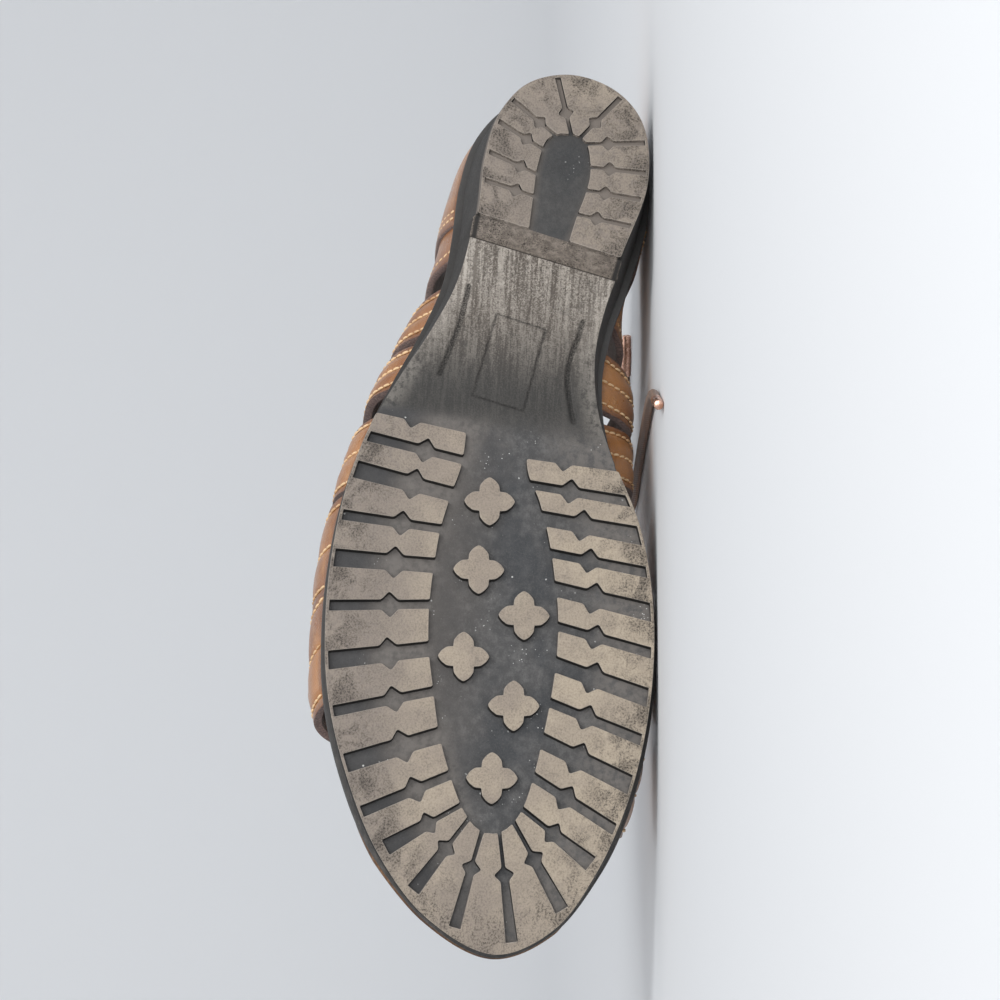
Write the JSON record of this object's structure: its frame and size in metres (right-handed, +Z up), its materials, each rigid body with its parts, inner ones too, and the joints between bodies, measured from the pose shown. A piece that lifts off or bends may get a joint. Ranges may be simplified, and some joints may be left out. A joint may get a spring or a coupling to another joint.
{
  "type": "lace-up gladiator sandal",
  "caption": "Tan leather gladiator sandal with slanting straps, a lace over the instep and a lugged rubber sole, lying on its inner side.",
  "frame": {"origin": "middle of the lying shoe's bounding box, on the floor", "axes": "+X towards the heel, along the shoe; +Y from the sole towards the open top; +Z up from the floor, towards the shoe's outer side"},
  "size_m": [0.2785, 0.194, 0.1023],
  "materials": {
    "sole_rubber": "worn, dusty, matt",
    "lining_leather": "smooth lining leather",
    "strap_leather": "waxed full-grain leather, soft gloss",
    "lace_cord": "waxed round braid",
    "tip_metal": "coppery, polished"
  },
  "bodies": {
    "root": {"outsole": "sole_rubber", "insole": "lining_leather", "upper": "strap_leather", "lace_crossings": "lace_cord", "lace_knot": "lace_cord", "lace_loop_a": "lace_cord", "lace_loop_b": "lace_cord", "lace_end_a": "lace_cord", "lace_end_b": "lace_cord", "lace_tip_a": "tip_metal", "lace_tip_b": "tip_metal"}
  },
  "joints": []
}
